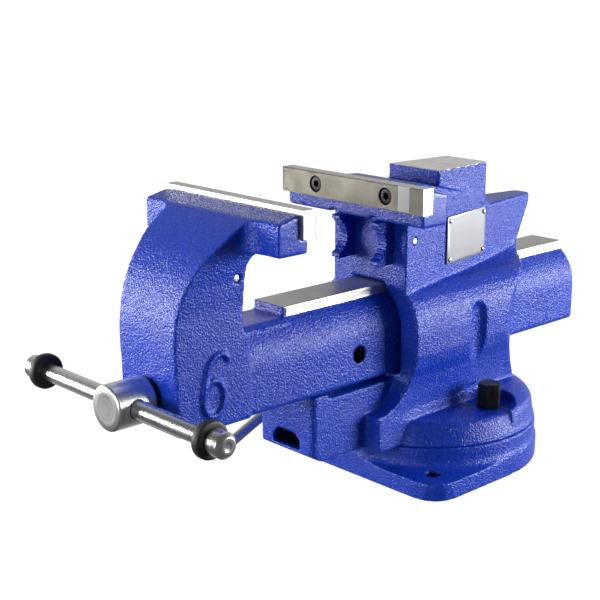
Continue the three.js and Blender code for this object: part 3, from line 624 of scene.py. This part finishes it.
NUMERAL_X = 32.3  # the right side of the arm
NUMERAL_STROKE = 2.1  # radius
NUMERAL_BOWL = ((-256.0, 110.2), 9.2, 12.9)  # centre and half sizes
NUMERAL_STEM = [
    (-265.0, 108.8), (-264.4, 117.8), (-262.6, 127.3), (-259.6, 134.4), (-255.2, 139.2), (-249.7, 141.0),
    (-245.2, 139.4), (-243.6, 136.4),
]


def numeral_six():
    """A cast numeral, half sunk in the right side of the arm."""
    (y0, z0), half_y, half_z = NUMERAL_BOWL
    bowl = [(y0 + half_y * math.cos(a), z0 + half_z * math.sin(a)) for a in np.linspace(0, 2 * math.pi, 40)]
    meshes = []
    for k, line in enumerate((bowl, flowing(NUMERAL_STEM))):
        path = [(NUMERAL_X, y, z) for y, z in line]
        meshes.append(tube_mesh(f"numeral_{k}", path, NUMERAL_STROKE, sides=12, ends=3))
    return meshes


BASE_JOINT = ((-95, -95, 29.5), (95, 95, 34))  # where the foot turns on the base


def make_castings():
    jaw = rebuilt_casting(
        "moving_jaw",
        crisp_where(
            ((-17, -178.5, 148.5), (17, 162, 158)),  # rail
            ((-15.5, -228, 149.2), (15.5, -176, 150.5)),  # flat before the rail
            ((-72.5, -213.4, 214), (72.5, -205, 236)),  # seat of the jaw plate
            ((31.2, -272, 96), (36, -236, 148)),  # numeral
        ),
        numeral_six() + bore_plugs(FRONT_GRIP, 1),
    )
    jaw_paint = painted_casting(
        "jaw_casting_paint",
        bare=[((-16.6, -176.9, 156.3), (16.6, 161.5, 158))],
        bright=[((-16.6, -174.0, 149.9), (16.6, 161.5, 156.3))],
        faded=[((-15.5, -224.5, 149.0), (15.5, -178.2, 150.6))],
        smooth=[((71.2, -240, 205), (73, -200, 245)), ((-73, -240, 205), (-71.2, -200, 245))],
        # painted shade inside the holes in the sides of the slide
        painted_bore_shade=[
            ((16.5, -119.4, 103.7), (30.6, -105.6, 117.5)),
            ((-30.6, -119.4, 103.7), (-16.5, -105.6, 117.5)),
        ],
    )
    finish_piece(jaw, "jaw", jaw_paint, "blue_paint", "moving_jaw")

    body = rebuilt_casting(
        "vise_body",
        crisp_where(
            ((-30, -25, 237.5), (30, 46, 242)),  # anvil
            ((-72.5, -90.6, 214), (72.5, -82.5, 236)),  # seat of the jaw plate
            ((-20, -165, 36), (20, -120, 60)),  # window in the nose
            BASE_JOINT,
        ),
        bore_plugs(REAR_GRIP, -1),
    )
    body_paint = painted_casting(
        "body_casting_paint",
        bright=[((-30, -30, 240.4), (30, 50, 242))],
        bright_tone=(0.96, 0.94, 0.91),
        smooth=[((71.2, -100, 205), (73, -60, 245)), ((-73, -100, 205), (-71.2, -60, 245))],
        # painted shade inside the window in the nose
        painted_bore_shade=[((-15.6, -156.0, 40.4), (15.6, -100.0, 54.6))],
    )
    finish_piece(body, "body", body_paint, "blue_paint", "vise_body")

    holes = ((BENCH_X, BENCH_Y), (-BENCH_X, BENCH_Y), (0, BENCH_REAR_Y))
    machined = [((x - 9, y - 9, -1), (x + 9, y + 9, 16)) for x, y in holes]
    ground = crisp_where(((-100, -100, -1), (100, 130, 0.6)), BASE_JOINT, *machined)
    base = rebuilt_casting("swivel_base", ground)
    # painted shade inside the bolt holes of the base
    bores = [((x - 6.6, y - 6.6, -1), (x + 6.6, y + 6.6, 12.6)) for x, y in holes]
    finish_piece(base, "base", painted_casting("base_casting_paint", painted_bore_shade=bores), "blue_paint", "swivel_base")


# ---------------------------------------------------------------- jaw plates and pipe jaws
PLATE_HALF, PLATE_LOW, PLATE_TOP, PLATE_THICK = 75.0, 221.1, 240.6, 11.0
KNURL_PITCH, KNURL_DEPTH = 2.3, 0.5
BAND = (50.5, 62.3)  # ground band across the knurl


def knurl_depth(x, z):
    """How deep the plate is cut at a place: nothing in the plain rim and the band, a small bevel at the edge."""
    edge = min(PLATE_HALF - abs(x), z - PLATE_LOW, PLATE_TOP - z)
    if edge < 0.5 or BAND[0] < x < BAND[1]:
        return 0.0 if edge >= 0.2 else 0.25
    across = abs(((x + z) / KNURL_PITCH) % 1 - 0.5) * 2
    along = abs(((x - z) / KNURL_PITCH) % 1 - 0.5) * 2
    return KNURL_DEPTH * max(across, along) ** 2


def jaw_plate(name, grip, direction, body):
    """direction is -1 where the plate faces the handle, 1 where it faces the beak."""
    step = 0.42
    xs = np.linspace(-PLATE_HALF, PLATE_HALF, round(2 * PLATE_HALF / step) + 1)
    zs = np.linspace(PLATE_LOW, PLATE_TOP, round((PLATE_TOP - PLATE_LOW) / step) + 1)
    columns, rows = len(xs), len(zs)
    back = grip - direction * PLATE_THICK
    vertices = [(x, grip - direction * knurl_depth(x, z), z) for z in zs for x in xs]
    faces = []
    for j in range(rows - 1):
        for i in range(columns - 1):
            k = j * columns + i
            faces.append((k, k + 1, k + columns + 1, k + columns))
    rim = list(range(columns)) + [j * columns + columns - 1 for j in range(1, rows)]
    rim += [(rows - 1) * columns + i for i in range(columns - 2, -1, -1)]
    rim += [j * columns for j in range(rows - 2, 0, -1)]
    start = len(vertices)
    vertices += [(vertices[k][0], back, vertices[k][2]) for k in rim]
    for i, k in enumerate(rim):
        n = (i + 1) % len(rim)
        faces.append((k, rim[n], start + n, start + i))
    faces.append(tuple(range(start, start + len(rim))))
    mesh = mesh_from(name, vertices, faces)
    outward(mesh)
    piece = new_object(name, mesh)
    tools = []
    for _, side in SIDES:
        at = (side * PLATE_SCREW_X, 0, PLATE_SCREW_Z)
        for radius, reach in ((6.5, 7.5), (4.3, 12.0)):
            low, high = sorted((grip + direction * 1.0, grip - direction * reach))
            tools.append(cutter("y", radius, low, high, at))
    carve(piece, *tools, angle=50)
    finish_piece(piece, body, knurled_steel(name + "_steel", grip, direction), "jaw_steel", name)


def socket_screw(name, side, grip, direction, body, material):
    crown = grip - direction * 1.2
    rows = [(0, 0), (5.2, 0), (6.0, 0.8), (6.0, 6.0), (4.0, 6.0), (4.0, 18.0), (0, 18.0)]
    profile = [(r, crown - direction * d) for r, d in rows]
    at = (side * PLATE_SCREW_X, 0, PLATE_SCREW_Z)
    piece = turned(name + "_screw", profile, "y", at, radius=0.35, sides=64)
    low, high = sorted((crown + direction * 1.0, crown - direction * 3.6))
    carve(piece, cutter("y", 3.0, low, high, at, sides=6), angle=40)
    finish_piece(piece, body, material, "black_steel", name)


# Height range, reach of the tips, depth of the hollow and height of the flat tips.
PIPE_JAWS = {"rear": (173.8, 208.0, 16.4, 8.0, 3.0), "front": (180.0, 203.6, 4.6, 0.9, 2.2)}
PIPE_X, PIPE_HALF, PIPE_SHANK_HALF = 21.0, 4.5, 3.5
PIPE_GAP, PIPE_CHAMFER = 0.3, 1.0
PIPE_SHANK = ((-20.0, 182.0), (PIPE_GAP, 201.0))


def toothed_hollow(low, top, reach, hollow, tip, pitch=3.5, tooth=1.0):
    """The gripping side of a pipe jaw: square teeth that follow a shallow curve between the tips."""
    start, end = low + tip, top - tip
    middle = (low + top) / 2
    count = round((end - start) / pitch)
    points = []
    for k in range(count):
        for share, drop in ((0.0, 0.0), (0.50, 0.0), (0.56, tooth), (0.94, tooth)):
            z = start + (end - start) * (k + share) / count
            out = abs(z - middle) / (middle - start)
            points.append((max(hollow + (reach - hollow) * out ** 2 - drop, 0.4), z))
    return points


def pipe_jaw(name, kind, side, wall, direction, body, material):
    low, top, reach, hollow, tip = PIPE_JAWS[kind]
    face = toothed_hollow(low, top, reach, hollow, tip)
    outline = [
        (PIPE_GAP, low), (reach - PIPE_CHAMFER, low), (reach, low + PIPE_CHAMFER), *face, (reach, top - tip),
        (reach, top - PIPE_CHAMFER), (reach - PIPE_CHAMFER, top), (PIPE_GAP, top),
    ]
    x = side * PIPE_X
    head = prism(name + "_jaw", [(wall + direction * d, z) for d, z in outline], x - PIPE_HALF, x + PIPE_HALF)
    bevelled(head, 0.25, 1)
    (deep, shank_low), (shallow, shank_top) = PIPE_SHANK
    corners = [(shallow, shank_top), (deep, shank_top), (deep, shank_low), (shallow, shank_low)]
    place = [(wall + direction * d, z) for d, z in corners]
    tail = prism("tail", place, x - PIPE_SHANK_HALF, x + PIPE_SHANK_HALF)
    work = bmesh.new()
    work.from_mesh(head.data)
    work.from_mesh(tail.data)
    work.to_mesh(head.data)
    work.free()
    mesh = tail.data
    bpy.data.objects.remove(tail)
    bpy.data.meshes.remove(mesh)
    smooth_shading(head.data, 25)
    finish_piece(head, body, material, "blue_paint", name)


def make_jaws(black):
    paint = painted_casting("pipe_jaw_paint")
    for name, grip, direction, wall, body in (
        ("rear", REAR_GRIP, -1, BODY_FRONT, "body"),
        ("front", FRONT_GRIP, 1, THROAT, "jaw"),
    ):
        jaw_plate(name + "_jaw_plate", grip, direction, body)
        for end, side in SIDES:
            socket_screw(f"{name}_jaw_screw_{end}", side, grip, direction, body, black)
            pipe_jaw(f"{name}_pipe_jaw_{end}", name, side, wall, direction, body, paint)


# ---------------------------------------------------------------- screw and handle
def spindle_mesh():
    """Head, plain neck and a right-hand thread."""
    sides = 96
    pitch, depth, crest = 6.0, 2.2, 12.0
    thread_start, thread_end = -246.0, 122.0
    head = [
        (0.01, -322.5), (5.0, -322.55), (10.0, -322.8), (14.6, -322.9), (15.6, -322.4), (16.3, -321.3),
        (16.3, -292.6), (15.9, -292.0), (crest, -292.0), (crest, thread_start),
    ]
    rows = [[(r, y)] * sides for r, y in head]
    step = 0.75
    y = thread_start + 1.0
    while y < thread_end - 1.0:
        ring = []
        for k in range(sides):
            phase = ((y / pitch) - k / sides) % 1
            groove = min(1.0, max(0.0, (abs(phase - 0.5) * 2 - 0.42) / 0.16))
            fade = min(1.0, (y - thread_start) / 4, (thread_end - y) / 4)
            ring.append((crest - depth * groove * max(fade, 0.0), y))
        rows.append(ring)
        y += step
    rows += [[(10.2, thread_end - 0.4)] * sides, [(9.2, thread_end)] * sides]
    vertices = []
    for ring in rows:
        for k, (r, along) in enumerate(ring):
            a = 2 * math.pi * k / sides
            vertices.append((r * math.sin(a), along, SCREW_Z + r * math.cos(a)))
    faces = []
    for i in range(len(rows) - 1):
        for k in range(sides):
            n = (k + 1) % sides
            faces.append((i * sides + k, i * sides + n, (i + 1) * sides + n, (i + 1) * sides + k))
    faces.append(tuple(range(sides - 1, -1, -1)))
    faces.append(tuple(range((len(rows) - 1) * sides, len(rows) * sides)))
    mesh = mesh_from("spindle_turned", vertices, faces)
    outward(mesh)
    return mesh


HANDLE_BORE, BAR_RADIUS, BAR_LEFT, BAR_RIGHT = 7.0, 6.5, -113, 106.8
CAP_TIPS = {"left": -115.5, "right": 109.3}
CAP_LENGTH, RING_GAP = 14.5, 0.3
# Radius, and distance from the tip of the cap or from the outer face of the ring.
CAP_ROWS = [
    (0, 0.6), (2.0, 0.5), (3.2, 0.0), (6.1, 0.0), (8.9, 2.8),
    (8.9, 12.1), (7.2, 14.5), (6.8, 14.5), (6.8, 2.2), (0, 2.2),
]
RING_ROWS = [
    (6.8, 0.3), (7.4, 0.0), (11.5, 0.0), (12.7, 0.5), (13.1, 1.6),
    (13.1, 5.0), (12.7, 6.1), (11.5, 6.6), (7.4, 6.6), (6.8, 6.3),
]


def make_screw():
    centre = (0, 0, SCREW_Z)
    bright = turned_metal("screw_steel", (0.80, 0.83, 0.82), (0.28, 0.40), axis=1, centre=centre, marks=0.5)
    spindle = new_object("spindle_turned", spindle_mesh())
    at = (0, HANDLE_Y, SCREW_Z)
    carve(spindle, cutter("x", HANDLE_BORE, -30, 30, at, sides=96), angle=32)
    finish_piece(spindle, "spindle", bright, "bright_zinc", "spindle")

    bar_metal = turned_metal(
        "bar_steel", (0.76, 0.77, 0.78), (0.20, 0.34), axis=0, centre=at, marks=0.2, dull=0.85
    )
    bar = turned("handle_bar_turned", rod_profile(BAR_RADIUS, BAR_LEFT, BAR_RIGHT, 0.8), "x", at, radius=0.4)
    finish_piece(bar, "handle", bar_metal, "bright_zinc", "handle_bar")
    rubber = moulded_rubber("ring_rubber")
    for end, side in SIDES:
        tip = CAP_TIPS[end]
        inner = tip - side * CAP_LENGTH
        profile = [(r, tip - side * d) for r, d in CAP_ROWS]
        cap = turned(f"handle_cap_{end}_turned", profile, "x", at, radius=0.7)
        finish_piece(cap, "handle", bar_metal, "bright_zinc", f"handle_cap_{end}")
        near = inner - side * RING_GAP
        profile = [(r, near - side * d) for r, d in RING_ROWS]
        mesh = lathe_mesh(f"handle_ring_{end}_moulded", profile, "x", at)
        smooth_shading(mesh, 50)
        ring = new_object(f"handle_ring_{end}_moulded", mesh)
        finish_piece(ring, "handle", rubber, "rubber", f"handle_ring_{end}")
    return bar_metal


# ---------------------------------------------------------------- swivel lock
NUT_LOW, NUT_HEIGHT, NUT_HALF_FLATS, NUT_BORE, NUT_BORE_TOP = 49.6, 20, 8.6, 6.3, 65.4
HUB_RADIUS, HUB_HEIGHT, HUB_BORE_TOP = 10.5, 23, 65.1
LEVER_Z, LEVER_RADIUS, LEVER_BEND_Y, LEVER_END = 60, 4.3, -83.5, (-166, 24.4)


def make_lock(bright, black, plain):
    x, low = SLOT_X, NUT_LOW
    top = low + NUT_HEIGHT
    corner = NUT_HALF_FLATS / math.cos(math.pi / 6)
    angles = [math.pi / 3 * k for k in range(6)]
    hexagon = [(x + corner * math.cos(a), LOCK_Y + corner * math.sin(a)) for a in angles]
    nut = prism("lock_nut_hex", hexagon, low, top, axis="z")
    bevelled(nut, 0.45, 3)
    crown = [
        (corner + 0.4, low - 3), (corner + 0.4, top - 1.6), (corner - 1.9, top + 0.1),
        (40, top + 3), (40, low - 3),
    ]
    hollow = lathe_mesh("crown_cut", crown, "z", (x, LOCK_Y, 0), 96)
    bore = cutter("z", NUT_BORE, low - 1, NUT_BORE_TOP, (x, LOCK_Y, 0))
    carve(nut, new_object("crown_cut", hollow), bore, angle=30)
    finish_piece(nut, "lock_nut", black, "black_steel", "lock_nut")

    at = (-x, LOCK_Y, 0)
    hub = turned("lock_lever_hub", rod_profile(HUB_RADIUS, low, low + HUB_HEIGHT, 1.2), "z", at, radius=0.6)
    bore = cutter("z", NUT_BORE, low - 1, HUB_BORE_TOP, at)
    socket = cutter("y", LEVER_RADIUS + 0.3, LOCK_Y - 28, LOCK_Y - 6.5, (-x, 0, LEVER_Z))
    carve(hub, bore, socket)
    finish_piece(hub, "lock_lever", plain, "plain_steel", "lock_lever_nut")

    start = Vector((-x, LOCK_Y - 7.2, LEVER_Z))
    bend = Vector((-x, LEVER_BEND_Y, LEVER_Z))
    end = Vector((-x, *LEVER_END))
    end = end + (bend - end).normalized() * LEVER_RADIUS
    start = start - Vector((0, LEVER_RADIUS, 0))
    before, after = bend.lerp(start, 0.2), bend.lerp(end, 0.2)
    path = [start.lerp(before, t) for t in np.linspace(0, 1, 10)[:-1]]
    path += [(1 - t) ** 2 * before + 2 * t * (1 - t) * bend + t ** 2 * after for t in np.linspace(0, 1, 16)]
    path += [after.lerp(end, t) for t in np.linspace(0, 1, 10)[1:]]
    mesh = tube_mesh("lock_lever_rod", path, LEVER_RADIUS, sides=48)
    smooth_shading(mesh, 50)
    finish_piece(new_object("lock_lever_rod", mesh), "lock_lever", bright, "bright_zinc", "lock_lever")


# ---------------------------------------------------------------- small parts
FLANK_SLOPE, FLANK_X = 0.16, 39.4  # the right flank's lean, and its place at the front of the block
LABEL_Y, LABEL_Z = 13.6, 184.25
LABEL_HALF, LABEL_ROUND = (29.5, 19.25), 2.0
RIVET_PLACE, RIVET_RADIUS, RIVET_SEAT = (25.9, 15.65), 1.0, 1.8


def flank_place(along, z):
    """Where a point of the label plane sits: the right flank slopes inwards towards the beak."""
    turn = math.atan(FLANK_SLOPE)
    x = FLANK_X - FLANK_SLOPE * (LABEL_Y - BODY_FRONT)
    shift = Vector((x - math.sin(turn) * along, LABEL_Y + math.cos(turn) * along, z)) * MM
    return Matrix.Translation(shift) @ Matrix.Rotation(turn, 4, "Z")


def make_trim(bright, plain, black):
    label_metal = ground_steel(
        "label_metal", (0.29, 0.295, 0.315), (0.30, 0.42), (25, 25, 2600),
        dull=0.94, metallic=0.7, stain=0.05, relief=0.12,
    )
    half_u, half_v = (half - LABEL_ROUND for half in LABEL_HALF)
    outline = []
    for u, v in ((-1, -1), (1, -1), (1, 1), (-1, 1)):
        turns = math.atan2(v, u) - math.pi / 4 + np.linspace(0, math.pi / 2, 6)
        outline += [
            (u * half_u + LABEL_ROUND * math.cos(a), v * half_v + LABEL_ROUND * math.sin(a)) for a in turns
        ]
    plate = prism("name_plate_sheet", outline, 0.3, 1.5)
    bevelled(plate, 0.25, 2)
    spots = [(u * RIVET_PLACE[0], v * RIVET_PLACE[1]) for u in (-1, 1) for v in (-1, 1)]
    carve(plate, *(cutter("x", RIVET_RADIUS + 0.3, -3, 6, (0, *spot), sides=24) for spot in spots))
    plate.data.transform(flank_place(0, LABEL_Z))
    finish_piece(plate, "body", label_metal, "label_metal", "name_plate")
    rows = [(0, -4.5), (RIVET_RADIUS, -4.5), (RIVET_RADIUS, RIVET_SEAT), (2.0, RIVET_SEAT)]
    rows += [(r, RIVET_SEAT + rise) for r, rise in ((1.85, 0.45), (1.35, 0.85), (0.6, 1.05), (0, 1.1))]
    for number, (along, z) in enumerate(spots, 1):
        mesh = lathe_mesh(f"name_plate_rivet_{number}_dome", rows, "x", (0, 0, 0), 32)
        smooth_shading(mesh, 50)
        mesh.transform(flank_place(along, LABEL_Z + z))
        rivet = new_object(mesh.name, mesh)
        finish_piece(rivet, "body", bright, "bright_zinc", f"name_plate_rivet_{number}")
    rear_pin = ("rear", 37.2, BODY_FRONT + 11.8, "body")
    front_pin = ("front", 33.2, THROAT - 7.4, "jaw")
    for name, half, y, body in (rear_pin, front_pin):
        profile = rod_profile(2.6, -half, half, 0.4)
        pin = turned(f"{name}_pipe_jaw_pin_turned", profile, "x", (0, y, PIPE_PIN_Z), radius=0.2, sides=32)
        finish_piece(pin, body, bright, "bright_zinc", f"{name}_pipe_jaw_pin")
    washer = [(12.6, -291.7), (14.6, -291.7), (14.8, -291.4), (14.8, -289.1), (14.6, -288.8), (12.6, -288.8)]
    mesh = lathe_mesh("thrust_washer_turned", washer, "y", (0, 0, SCREW_Z))
    smooth_shading(mesh, 50)
    finish_piece(new_object("thrust_washer_turned", mesh), "spindle", black, "black_steel", "thrust_washer")
    collar = [(12.3, -261.7), (15.4, -261.7), (16.0, -261.1), (16.0, -250.3), (15.4, -249.7), (12.3, -249.7)]
    mesh = lathe_mesh("spindle_collar_turned", collar, "y", (0, 0, SCREW_Z))
    smooth_shading(mesh, 50)
    finish_piece(new_object("spindle_collar_turned", mesh), "spindle", plain, "plain_steel", "spindle_collar")


def dress(names, material):
    for name in names:
        mesh = nodes[name].data
        mesh.materials.clear()
        mesh.materials.append(material)


# ---------------------------------------------------------------- stage
BACKDROP = (-0.727, 0.686, 0.0)  # the way to the bright wall behind the vise
FLOOR_REACH, FLOOR_Z = 30000, -0.4
EYE, LOOK_AT, LENS = (0.6776, -0.7775, 0.4003), (0, -0.1456, 0.1536), 76.74  # metres, metres, millimetres


def make_stage():
    corners = [(u * FLOOR_REACH, v * FLOOR_REACH, FLOOR_Z) for u, v in ((-1, -1), (1, -1), (1, 1), (-1, 1))]
    mesh = mesh_from("floor", corners, [(0, 1, 2, 3)])
    floor = new_object("floor", mesh)
    floor.visible_glossy = False
    floor.visible_diffuse = False
    mesh.materials.append(pale_floor("floor_pale"))

    world = bpy.data.worlds.new("studio")
    bpy.context.scene.world = world
    world.use_nodes = True
    tree = world.node_tree
    background = tree.nodes["Background"]
    background.inputs["Color"].default_value = (1.0, 1.0, 1.0, 1)
    seen = tree.nodes.new("ShaderNodeLightPath").outputs["Is Camera Ray"]
    level = tree.nodes.new("ShaderNodeMapRange")
    towards = tree.nodes.new("ShaderNodeVectorMath")
    towards.operation = "DOT_PRODUCT"
    towards.inputs[1].default_value = BACKDROP
    tree.links.new(tree.nodes.new("ShaderNodeTexCoord").outputs["Generated"], towards.inputs[0])
    glow = tree.nodes.new("ShaderNodeMapRange")
    glow.interpolation_type = "SMOOTHSTEP"
    for name, value in (("From Min", 0.25), ("From Max", 0.85), ("To Min", 0.1), ("To Max", 0.56)):
        glow.inputs[name].default_value = value
    tree.links.new(towards.outputs["Value"], glow.inputs["Value"])
    tree.links.new(glow.outputs[0], level.inputs["To Min"])
    level.inputs["To Max"].default_value = 1.0
    tree.links.new(seen, level.inputs["Value"])
    tree.links.new(level.outputs[0], background.inputs["Strength"])
    bpy.context.scene.view_settings.view_transform = "Standard"

    def soft_light(name, place, target, size, power):
        light = bpy.data.lights.new(name, "AREA")
        light.shape = "RECTANGLE"
        light.size, light.size_y = size
        light.energy = power
        lamp = bpy.data.objects.new(name, light)
        lamp.location = place
        lamp.rotation_euler = (Vector(target) - Vector(place)).to_track_quat("-Z", "Y").to_euler()
        bpy.context.scene.collection.objects.link(lamp)

    soft_light("key", (0.96, 1.06, 0.30), (0, 0, 0.16), (1.0, 0.6), 32)
    soft_light("top", (-0.3, 0.5, 1.5), (0, -0.05, 0.1), (0.7, 0.7), 2)
    soft_light("front", (-1.15, -0.88, 0.22), (0, -0.25, 0.14), (0.7, 0.45), 17)
    soft_light("fill", (0.0, -1.35, 0.30), (0, -0.25, 0.14), (0.5, 0.4), 8)

    camera = bpy.data.cameras.new("camera")
    camera.lens = LENS
    camera.sensor_width = 36
    eye = bpy.data.objects.new("camera", camera)
    eye.location = EYE
    eye.rotation_euler = (Vector(LOOK_AT) - eye.location).to_track_quat("-Z", "Y").to_euler()
    bpy.context.scene.collection.objects.link(eye)
    bpy.context.scene.camera = eye


make_stage()
black = black_oxide("black_oxide")
plain = ground_steel("machined_steel", (0.55, 0.56, 0.57), (0.28, 0.42), (900, 900, 900))
make_castings()
make_jaws(black)
bright = make_screw()
make_lock(bright, black, plain)
make_trim(bright, plain, black)
dress(["pivot_pin", "collar_pin"], plain)
dress(["lock_bolt_left", "lock_bolt_right", "spindle_nut_bolt"], black)
dress(["spindle_nut"], rough_iron("nut_iron"))
